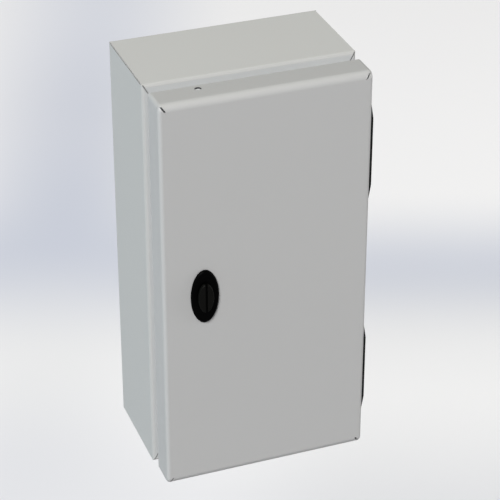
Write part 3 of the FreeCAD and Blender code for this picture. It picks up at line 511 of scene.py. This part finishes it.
def build_door_painted_shade():
    """Rim: one on the walls of the two hanging holes, by the distance from their common axis.

    Corner Shade: rises to one where a side fold and an end fold of the tray meet.
    """
    group, (x, y, z), result = new_marks("door_painted_shade", "Rim Shade", "Corner Shade")
    across, along = (math_step(group, "SUBTRACT", value, middle) for value, middle in zip((x, y), HOLE_AT))
    square = math_step(group, "ADD", math_step(group, "MULTIPLY", across, across),
                       math_step(group, "MULTIPLY", along, along))
    height = math_step(group, "ABSOLUTE", z, 0.0)
    # painted shade on the walls of the hanging holes, which look into shade
    rim = every(group, below(group, square, HOLE_RIM ** 2), above(group, height, RETURN_AT))
    join(group, rim, result.inputs["Rim Shade"])
    side = inset_from(group, x, DOOR_HALF_WIDTH)
    end = inset_from(group, z, DOOR_HALF_HEIGHT)
    # painted shade where the side and end folds meet at the door's corners
    corner = every(group, smooth_step(group, side, DOOR_SIDE_FOLD, 0.0),
                   smooth_step(group, end, DOOR_TOP_FOLD, 0.0),
                   smooth_step(group, y, DOOR_TOP_FOLD - DOOR_FRONT, DOOR_SIDE_FOLD - DOOR_FRONT))
    join(group, corner, result.inputs["Corner Shade"])
    return group


def build_knob_slot_painted_shade():
    """One on the floor and the walls of the knob's slot, behind the knob's front."""
    group, (x, y, _), result = new_marks("knob_slot_painted_shade", "Slot Shade")
    aside = math_step(group, "ABSOLUTE", math_step(group, "SUBTRACT", x, KNOB_SIDE), 0.0)
    # painted shade in the knob's slot
    slot = every(group, below(group, aside, SLOT_HALF_WIDTH), above(group, y, SKIN - KNOB_FRONT))
    join(group, slot, result.inputs["Slot Shade"])
    return group


def add_painted_light_and_shade(material, group, tones):
    """Multiplies a finish's colour by a tone where a mask of the group is one."""
    # Paints shade or light into a finish's colour where a mask is one.
    tree = material.node_tree
    shader = tree.nodes["Principled BSDF"]
    marks = add_node(tree, "ShaderNodeGroup")
    marks.node_tree = group
    for mask, tone in tones.items():
        colour = shader.inputs["Base Color"].links[0].from_socket
        shade = add_node(tree, "ShaderNodeVectorMath", operation="MULTIPLY")
        join(tree, colour, shade.inputs[0])
        join(tree, mix_colours(tree, marks.outputs[mask], grey(1.0), tone), shade.inputs[1])
        join(tree, shade.outputs[0], shader.inputs["Base Color"])


BODY_PAINTED_LIGHT_AND_SHADE, DOOR_PAINTED_SHADE, KNOB_SLOT_PAINTED_SHADE = build_body_painted_light_and_shade(), build_door_painted_shade(), build_knob_slot_painted_shade()
print("groups", BODY_PAINTED_LIGHT_AND_SHADE.name, DOOR_PAINTED_SHADE.name, KNOB_SLOT_PAINTED_SHADE.name)

# %% [markdown]
# ## Finishes
#
# A finish is a Principled shader fed by one of the groups above. Whatever is the same all over, such
# as how metallic it is or how strongly it mirrors, is set on the shader itself. The paints, the black
# castings, the rubber and the foam all have a skin with a faint mottle, so one table gives their
# values. The door's paint is a touch darker than the body's, as the picture shows where the two lie
# side by side.


# %% A finish from a group
def make_finish(name, group, values, shader_values, bump_height):
    """A material: the group's colour, roughness and height feed one Principled shader."""
    made = bpy.data.materials.new(name)
    made.use_nodes = True
    tree = made.node_tree
    shader = tree.nodes["Principled BSDF"]
    for socket, value in shader_values.items():
        shader.inputs[socket].default_value = value
    effect = add_node(tree, "ShaderNodeGroup")
    effect.node_tree = group
    for socket, value in values.items():
        effect.inputs[socket].default_value = value
    bump = add_node(tree, "ShaderNodeBump", {"Strength": 1.0, "Distance": bump_height})
    join(tree, effect.outputs["Color"], shader.inputs["Base Color"])
    join(tree, effect.outputs["Roughness"], shader.inputs["Roughness"])
    join(tree, effect.outputs["Height"], bump.inputs["Height"])
    join(tree, bump.outputs["Normal"], shader.inputs["Normal"])
    return made


print("finish maker ready")

# %% Paints, castings, rubber, foam and plated steel
PAINT_SKIN, RUBBER_SKIN, FOAM_SKIN, GRAIN_HEIGHT = 0.00001, 0.00002, 0.00012, 0.000008
COATS = {
    # name: colour, mottle and its scale, skin scale, roughness and its change, specular level, skin height
    "body_paint": ((0.456, 0.458, 0.451), 0.012, 9.0, 1100.0, 0.58, 0.08, 0.15, PAINT_SKIN),
    "door_paint": ((0.387, 0.388, 0.386), 0.012, 9.0, 1100.0, 0.46, 0.08, 0.50, PAINT_SKIN),
    "rose_black": ((0.0002, 0.0002, 0.0002), 0.3, 60.0, 1500.0, 0.50, 0.10, 0.02, PAINT_SKIN),
    "knob_black": ((0.0034, 0.0034, 0.0030), 0.3, 80.0, 1500.0, 0.45, 0.10, 0.03, PAINT_SKIN),
    "hinge_black": ((0.0020, 0.0020, 0.0021), 0.3, 60.0, 1500.0, 0.42, 0.10, 0.12, PAINT_SKIN),
    "black_rubber": ((0.012, 0.012, 0.012), 0.4, 150.0, 1600.0, 0.72, 0.20, 0.35, RUBBER_SKIN),
    "sealing_foam": ((0.055, 0.056, 0.058), 0.5, 220.0, 1300.0, 0.85, 0.20, 0.25, FOAM_SKIN),
}


def make_coat(name, colour, mottle, mottle_scale, skin_scale, roughness, change, specular, skin_height):
    """A painted or moulded surface from one row of the table."""
    values = {"Color": (*colour, 1.0), "Mottle": mottle, "Mottle Scale": mottle_scale,
              "Skin Scale": skin_scale, "Roughness": roughness, "Roughness Change": change}
    return make_finish(name, COAT, values, {"Specular IOR Level": specular}, skin_height)


coats = {name: make_coat(name, *row) for name, row in COATS.items()}
zinc = make_finish("zinc_plate", METAL,
                   {"Color": (0.60, 0.61, 0.63, 1.0), "Grain Scale": 700.0, "Contrast": 0.12,
                    "Roughness": 0.30},
                   {"Metallic": 1.0}, GRAIN_HEIGHT)
print("finishes", *coats, zinc.name)

# %% Paint shade and light into the marked places
PAINTED_LIGHT_AND_SHADE = [
    # finish, group, tone of each mask; a tone under one is painted shade, over one painted light
    ("body_paint", BODY_PAINTED_LIGHT_AND_SHADE, {"Seam": grey(0.84), "Mitre Shade": grey(0.50), "Fold Shade": grey(0.87),
                                "Flange Light": (1.06, 1.08, 1.10, 1.0)}),
    ("door_paint", DOOR_PAINTED_SHADE, {"Rim Shade": grey(0.15), "Corner Shade": grey(0.70)}),
    ("knob_black", KNOB_SLOT_PAINTED_SHADE, {"Slot Shade": grey(0.1)}),
]

for name, group, tones in PAINTED_LIGHT_AND_SHADE:
    add_painted_light_and_shade(coats[name], group, tones)
print("marked", [row[0] for row in PAINTED_LIGHT_AND_SHADE])

# %% [markdown]
# ## Galvanised sheet
#
# Hot-dip zinc freezes into crystals a few millimetres across, each with its own grey. A Voronoi
# texture gives every cell one random colour, which is just what such a spangle is.

# %% Galvanised sheet
SPANGLE_SCALE = 140.0
SPANGLE_DARK, SPANGLE_PALE = (0.50, 0.52, 0.54, 1.0), (0.64, 0.655, 0.67, 1.0)
SPANGLE_ROUGHNESS, ROUGHNESS_CHANGE = 0.30, 0.16
SPANGLE_HEIGHT, SPANGLE_RELIEF = 0.00002, 0.6


def make_galvanised():
    """Each Voronoi cell shifts the tone and the gloss of the sheet by its own random amount."""
    made = bpy.data.materials.new("galvanised_sheet")
    made.use_nodes = True
    tree = made.node_tree
    shader = tree.nodes["Principled BSDF"]
    shader.inputs["Metallic"].default_value = 1.0
    place = add_node(tree, "ShaderNodeTexCoord")
    cells = add_node(tree, "ShaderNodeTexVoronoi", {"Scale": SPANGLE_SCALE, "Randomness": 1.0})
    join(tree, place.outputs["Object"], cells.inputs["Vector"])
    level = add_node(tree, "ShaderNodeSeparateColor")
    join(tree, cells.outputs["Color"], level.inputs[0])
    join(tree, mix_colours(tree, level.outputs[0], SPANGLE_DARK, SPANGLE_PALE), shader.inputs["Base Color"])
    gloss = math_step(tree, "MULTIPLY", level.outputs[1], ROUGHNESS_CHANGE)
    join(tree, math_step(tree, "ADD", gloss, SPANGLE_ROUGHNESS), shader.inputs["Roughness"])
    bump = add_node(tree, "ShaderNodeBump", {"Strength": SPANGLE_RELIEF, "Distance": SPANGLE_HEIGHT})
    join(tree, level.outputs[2], bump.inputs["Height"])
    join(tree, bump.outputs["Normal"], shader.inputs["Normal"])
    return made


galvanised = make_galvanised()
print("finish", galvanised.name)

# %% [markdown]
# ## Paint the construction nodes
#
# Each node keeps its own mesh and only gets a finish. One table says which finish goes on which
# node, so nothing is left plain.

# %% Give every node its finish
FINISH_OF_SLOT = {"grey_paint": coats["body_paint"], "black_casting": coats["hinge_black"],
                  "zinc_steel": zinc, "galvanised_sheet": galvanised,
                  "black_rubber": coats["black_rubber"], "sealing_foam": coats["sealing_foam"]}
FINISH_OF_NODE = {"door_panel": coats["door_paint"], "lock_rose": coats["rose_black"],
                  "lock_knob": coats["knob_black"]}
slot_of_node = {part["node"]: part["material_slot"] for part in frame["record"]["subparts"]}


def finish_of(node):
    """A node's own finish if it has one, else that of its slot."""
    return FINISH_OF_NODE.get(node, FINISH_OF_SLOT[slot_of_node[node]])


def paint_node(name):
    """Gives all of a node's faces one finish."""
    mesh = nodes[name].data
    mesh.materials.clear()
    mesh.materials.append(finish_of(name))
    mesh.polygons.foreach_set("material_index", np.zeros(len(mesh.polygons), np.int32))


for node_name in nodes:
    paint_node(node_name)
print("painted", len(nodes), "nodes")

# %% [markdown]
# ## Turned and ringed pieces
#
# Fasteners and seals are closed rings of points, one after another along an axis or round an
# opening. Worked out as a grid, they come out even and closed, and the corners of a hexagon or the
# turns of a thread fall where the formula puts them. Lengths in these cells are in millimetres, as a
# drawing gives them; the last step turns them into the model's metres.

# %% Rings of points
MM = 0.001
MERGE_DISTANCE = 1e-7
COLUMNS = 60
TURN = np.arange(COLUMNS) / COLUMNS * math.tau


def spin(radius, height):
    """Turns radii and heights, each with one row per ring, into points round the axis."""
    radius, height, turn = np.broadcast_arrays(radius, height, TURN)
    return np.stack([radius * np.cos(turn), radius * np.sin(turn), height], -1)


def plain_rings(*profile):
    """Rings from pairs of radius and height; a radius of zero closes an end."""
    radius, height = np.array(profile, float).T
    return spin(radius[:, None], height[:, None])


def swept_rings(outlines, heights):
    """Rings from closed outlines of equally many points, each with its own height."""
    return np.stack([np.column_stack([outline, np.full(len(outline), height)])
                     for outline, height in zip(outlines, heights)])


def frame_along(axis):
    """Three unit vectors at right angles, the last one along the axis."""
    last = np.array(axis, float)
    first = np.cross((0, 0, 1) if last[2] == 0 else (0, 1, 0), last)
    return np.stack([first, np.cross(last, first), last])


def seats(node, reach, counts, axis):
    """Where a node's repeated pieces start along their axis: even rows, one reach inside the node's box."""
    low, high = (np.array(corner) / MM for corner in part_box(node))
    rows = [np.linspace(a + inside, b - inside, n) if n > 1 else [(a + b) / 2]
            for a, b, n, inside in zip(low, high, counts, np.broadcast_to(reach, 3))]
    start = np.where(np.array(axis) > 0, low, high)
    return [np.where(np.array(axis) != 0, start, spot) for spot in itertools.product(*rows)]


def length_of(node, axis):
    """How long a node is along an axis, in millimetres."""
    low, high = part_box(node)
    return abs((high - low).dot(Vector(axis))) / MM


def make_piece(name, rings, spots, axis, node, wrap_rows=False, sharp_degrees=35):
    """Copies the rings to each spot and closes the grid; the piece stands for a node and rides its body."""
    turned = rings @ frame_along(axis)
    faces = grid_faces(*rings.shape[:2], wrap_rows, True)
    size = rings.shape[0] * rings.shape[1]
    points = np.concatenate([(turned + spot).reshape(-1, 3) for spot in spots]) * MM
    piece = make_mesh(name, points, np.concatenate([faces + i * size for i in range(len(spots))]))
    shape = bmesh.new()
    shape.from_mesh(piece.data)
    bmesh.ops.remove_doubles(shape, verts=shape.verts, dist=MERGE_DISTANCE)
    bmesh.ops.recalc_face_normals(shape, faces=shape.faces)
    shape.to_mesh(piece.data)
    shape.free()
    piece.data.shade_smooth()
    piece.data.set_sharp_from_angle(angle=math.radians(sharp_degrees))
    piece.data.materials.append(finish_of(node))
    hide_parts(node)
    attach(piece, body_of_node[node])
    print(name, len(piece.data.polygons), "faces")
    return piece


body_of_node = {node: body for body, members in frame["record"]["behaviour"]["bodies"].items()
                for node in members}

# %% [markdown]
# ## Threaded studs
#
# Threaded studs are resistance-welded to the sheet: four with a thick foot carry the mounting plate,
# six hold the gland plate, and one on each side takes an earth lead. The thread is cut into the
# radius as a triangle wave that climbs one pitch per turn, so it is a true helix.

# %% Threaded studs
THREAD_DEPTH = 0.54
ROWS_PER_PITCH = 8
CONE_START = 0.7
FOOT_CHAMFER = 0.6
STUD_SHARP = 60


def thread_rings(radius, start, end, pitch):
    """Phase: height in pitches less angle in turns. Its triangle wave cuts the radius.

    The free end is a cone.
    """
    height = np.linspace(start, end, round((end - start) / pitch * ROWS_PER_PITCH) + 1)[:, None]
    wave = np.abs(2 * ((height / pitch - TURN / math.tau) % 1) - 1)
    cone = radius - CONE_START * pitch + (end - height)
    return spin(np.minimum(radius - THREAD_DEPTH * pitch * wave, cone), height)


def stud_rings(radius, length, pitch, foot=None, foot_length=0.0):
    """A closed foot, if there is one, then the thread, then the closed free end."""
    rings = [plain_rings((0, 0), (foot or radius - THREAD_DEPTH * pitch, 0))]
    if foot:
        rings.append(plain_rings((foot, foot_length - FOOT_CHAMFER), (foot - FOOT_CHAMFER, foot_length),
                                 (radius - THREAD_DEPTH * pitch, foot_length)))
    rings += [thread_rings(radius, foot_length, length, pitch), plain_rings((0, length))]
    return np.concatenate(rings)


STUDS = [
    # node, radius, pitch, count along x, y and z, axis, foot radius, foot length
    ("mounting_studs", 4.0, 1.25, (2, 1, 2), (0, -1, 0), 7.0, 12.0),
    ("gland_studs", 2.5, 0.8, (3, 2, 1), (0, 0, 1), None, 0.0),
    ("body_earth_stud", 3.0, 1.0, (1, 1, 1), (0, -1, 0), None, 0.0),
    ("door_earth_stud", 3.0, 1.0, (1, 1, 1), (0, 1, 0), None, 0.0),
]

for node, radius, pitch, counts, axis, foot, foot_length in STUDS:
    rings = stud_rings(radius, length_of(node, axis), pitch, foot, foot_length)
    make_piece(node + "_threaded", rings, seats(node, foot or radius, counts, axis), axis, node,
               sharp_degrees=STUD_SHARP)

# %% [markdown]
# ## Hexagon nuts
#
# A nut is a hexagonal prism whose ends are chamfered by a cone, which draws the curved arcs on its
# six sides. At every angle the radius is the lesser of the two, so the arcs come by themselves.

# %% Hexagon nuts
CHAMFER_SLOPE = math.tan(math.radians(60))
CHAMFER_START = 0.96
CHAMFER_ROWS = 6
MOUTH_SHARE = 0.06


def nut_rings(across, height, bore):
    """Radius: the lesser of the hexagon's at that angle and the cone's at that height, round a plain bore."""
    hexagon = across / 2 / np.cos(TURN % (math.pi / 3) - math.pi / 6)
    zone = (across / 2 * (1 / math.cos(math.pi / 6) - CHAMFER_START)) / CHAMFER_SLOPE
    level = np.concatenate([np.linspace(0, zone, CHAMFER_ROWS),
                            np.linspace(height - zone, height, CHAMFER_ROWS)])[:, None]
    cone = across / 2 * CHAMFER_START + np.minimum(level, height - level) * CHAMFER_SLOPE
    mouth = MOUTH_SHARE * bore
    return np.concatenate([plain_rings((bore, height / 2), (bore, mouth), (bore + mouth, 0)),
                           spin(np.minimum(hexagon, cone), level),
                           plain_rings((bore + mouth, height), (bore, height - mouth))])


NUTS = [
    # node, width across flats, bore radius, count along x, y and z, axis
    ("mounting_nuts", 13.0, 4.0, (2, 1, 2), (0, -1, 0)),
    ("gland_nuts", 8.0, 2.5, (3, 2, 1), (0, 0, 1)),
    ("body_earth_nut", 10.0, 3.0, (1, 1, 1), (0, -1, 0)),
    ("door_earth_nut", 10.0, 3.0, (1, 1, 1), (0, 1, 0)),
    ("lock_nut", 28.0, 11.05, (1, 1, 1), (0, 1, 0)),
]

for node, across, bore, counts, axis in NUTS:
    rings = nut_rings(across, length_of(node, axis), bore)
    reach = across / 2 * np.array([1 / math.cos(math.pi / 6), 1, 1])
    make_piece(node + "_chamfered", rings, seats(node, reach, counts, axis), axis, node, wrap_rows=True)

# %% [markdown]
# ## Cross-recessed screws
#
# The hinge leaves are held from inside by pan-head screws, and one screw holds the cam. The head is a
# flattened dome, and the driver's cross is pressed into it: the depth is a smooth mask that is one
# inside either arm of the cross and falls to zero at its edges.

# %% Cross-recessed screws
ARM_HALF_WIDTH, ARM_SOFTNESS = 0.11, 0.03
ARM_REACH, REACH_SOFTNESS = 0.56, 0.06
CROSS_DEPTH = 0.6
HEAD_ROWS = 26
RIM_SHARE = 0.35
RIM_BULGE, TOP_BULGE = 0.8, 0.7
RIM_CHAMFER = 0.2


def smooth_mask(distance, softness):
    """Zero to one as the distance goes from minus to plus the softness, with level ends."""
    step = np.clip(distance / softness / 2 + 0.5, 0, 1)
    return step * step * (3 - 2 * step)


def screw_rings(radius, head, head_height, length, pitch):
    """Shank thread below zero, then a domed head above it with a cross pressed into the middle.

    Dome: a quarter arc whose sine and cosine are raised to powers under one, so that it is flattened.
    """
    shank = thread_rings(radius, 0, length, pitch)[::-1] * (1, -1, -1)
    arc = np.linspace(math.pi / 2, 0, HEAD_ROWS)[:, None]
    out = head * np.sin(arc) ** RIM_BULGE
    dome = spin(out, head_height * (RIM_SHARE + (1 - RIM_SHARE) * np.cos(arc) ** TOP_BULGE))
    flat = np.abs(dome[..., :2])
    cross = smooth_mask(head * ARM_HALF_WIDTH - flat.min(-1), ARM_SOFTNESS * head)
    reach = smooth_mask(head * ARM_REACH - flat.max(-1), REACH_SOFTNESS * head)
    dome[..., 2] -= CROSS_DEPTH * head_height * cross * reach
    under = plain_rings((head - RIM_CHAMFER, 0), (head, RIM_CHAMFER))
    return np.concatenate([plain_rings((0, -length)), shank, under, dome])


SCREWS = [
    # node, shank radius, head radius, head height, pitch, count along x, y and z, axis
    ("hinge_body_screws_upper", 2.5, 4.4, 2.8, 0.8, (1, 1, 2), (-1, 0, 0)),
    ("hinge_body_screws_lower", 2.5, 4.4, 2.8, 0.8, (1, 1, 2), (-1, 0, 0)),
    ("hinge_door_screws_upper", 2.5, 4.4, 2.8, 0.8, (1, 1, 2), (-1, 0, 0)),
    ("hinge_door_screws_lower", 2.5, 4.4, 2.8, 0.8, (1, 1, 2), (-1, 0, 0)),
    ("cam_screw", 3.0, 5.0, 3.0, 1.0, (1, 1, 1), (0, 1, 0)),
]

for node, radius, head, head_height, pitch, counts, axis in SCREWS:
    shank = length_of(node, axis) - head_height
    rings = screw_rings(radius, head, head_height, shank, pitch) + (0, 0, shank)
    make_piece(node + "_crossed", rings, seats(node, head, counts, axis), axis, node)

# %% [markdown]
# ## Seals
#
# The door's seal is polyurethane foam, laid as a liquid bead by a nozzle that follows the tray's
# edge, where it rises into a dome. The body's lip has pressed a shallow band into it. The two flat
# seals are cut from rubber sheet and bulge a little where they are squeezed.

# %% Foam bead
CORNER_STEPS = COLUMNS // 4
EDGE_ROWS = 7


def rounded_rectangle(half_across, half_up, corner):
    """A closed outline of four arcs; the straight sides are the long gaps between them."""
    quarter = np.linspace(0, math.pi / 2, CORNER_STEPS)
    signs = ((1, 1), (-1, 1), (-1, -1), (1, -1))
    return np.concatenate([
        np.column_stack([side * (half_across - corner) + corner * np.cos(quarter + i * math.pi / 2),
                         level * (half_up - corner) + corner * np.sin(quarter + i * math.pi / 2)])
        for i, (side, level) in enumerate(signs)])


def oval(half_across, half_up):
    """An ellipse of as many points as every other outline here."""
    return np.column_stack([half_across * np.cos(TURN), half_up * np.sin(TURN)])


def flat_seal_rings(outside, inside, height):
    """Half-round edges: each outline is a function of how far it is drawn in from the full size."""
    arc = np.linspace(-math.pi / 2, math.pi / 2, EDGE_ROWS)
    drawn_in = height / 2 * (1 - np.cos(arc))
    level = height / 2 * (1 + np.sin(arc))
    return swept_rings([outside(d) for d in drawn_in] + [inside(d) for d in drawn_in[::-1]],
                       [*level, *level[::-1]])


def middle_of(node):
    """The middle of a node's box in millimetres."""
    low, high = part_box(node)
    return np.array((low + high) / 2) / MM


def seal_seat(node, axis):
    """The middle of the face of a node's box that a seal starts from."""
    return [middle_of(node) - np.array(axis) * length_of(node, axis) / 2]


BEAD_WIDTH = 13.0
BEAD_CORNER, LEAST_CORNER = 12.0, 0.5
BEAD_ROWS = 33
BEAD_POWER = 3
LIP_DENT, DENT_SOFTNESS = 0.5, 0.5
LIP_HALF_WIDTH = 4.75
DENT_ABOVE = 0.5


def bead_rings(half_across, half_up, height):
    """Dome: the height falls as a cubed curve to the edges, less a band that the lip has pressed in."""
    half = BEAD_WIDTH / 2
    offset = half * np.sin(np.linspace(-math.pi / 2, math.pi / 2, BEAD_ROWS))
    dome = (1 - np.abs(offset / half) ** BEAD_POWER) ** (1 / BEAD_POWER)
    dent = LIP_DENT * smooth_mask(LIP_HALF_WIDTH - np.abs(offset), DENT_SOFTNESS)
    outlines = [rounded_rectangle(half_across - half + u, half_up - half + u,
                                  max(BEAD_CORNER - half + u, LEAST_CORNER)) for u in offset]
    return swept_rings(outlines, height * dome - dent * (dome > DENT_ABOVE))


def half_size(node):
    """Half of each side of a node's box, in millimetres."""
    low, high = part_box(node)
    return np.array(high - low) / MM / 2


across, _, up = half_size("door_gasket")
make_piece("foam_bead", bead_rings(across, up, length_of("door_gasket", (0, 1, 0))),
           seal_seat("door_gasket", (0, 1, 0)), (0, 1, 0), "door_gasket", wrap_rows=True)

# %% Flat seals
BARREL_HOLE = 11.35
LOCK_SEAL_WALL, GLAND_SEAL_WALL = 0.8, 2.0
GLAND_OPENING = (55.0, 22.0)
GLAND_CORNER = 5.0

across, _, up = half_size("lock_seal")
rings = flat_seal_rings(lambda inset: oval(across - inset, up - inset),
                        lambda inset: oval(BARREL_HOLE + inset, BARREL_HOLE + inset), LOCK_SEAL_WALL)
make_piece("oval_seal", rings, seal_seat("lock_seal", (0, -1, 0)), (0, -1, 0), "lock_seal", wrap_rows=True)

across, back, _ = half_size("gland_gasket")
rings = flat_seal_rings(lambda inset: rounded_rectangle(across - inset, back - inset, GLAND_CORNER),
                        lambda inset: rounded_rectangle(GLAND_OPENING[0] + inset, GLAND_OPENING[1] + inset,
                                                        LEAST_CORNER),
                        GLAND_SEAL_WALL)
make_piece("gland_seal", rings, seal_seat("gland_gasket", (0, 0, 1)), (0, 0, 1), "gland_gasket",
           wrap_rows=True)
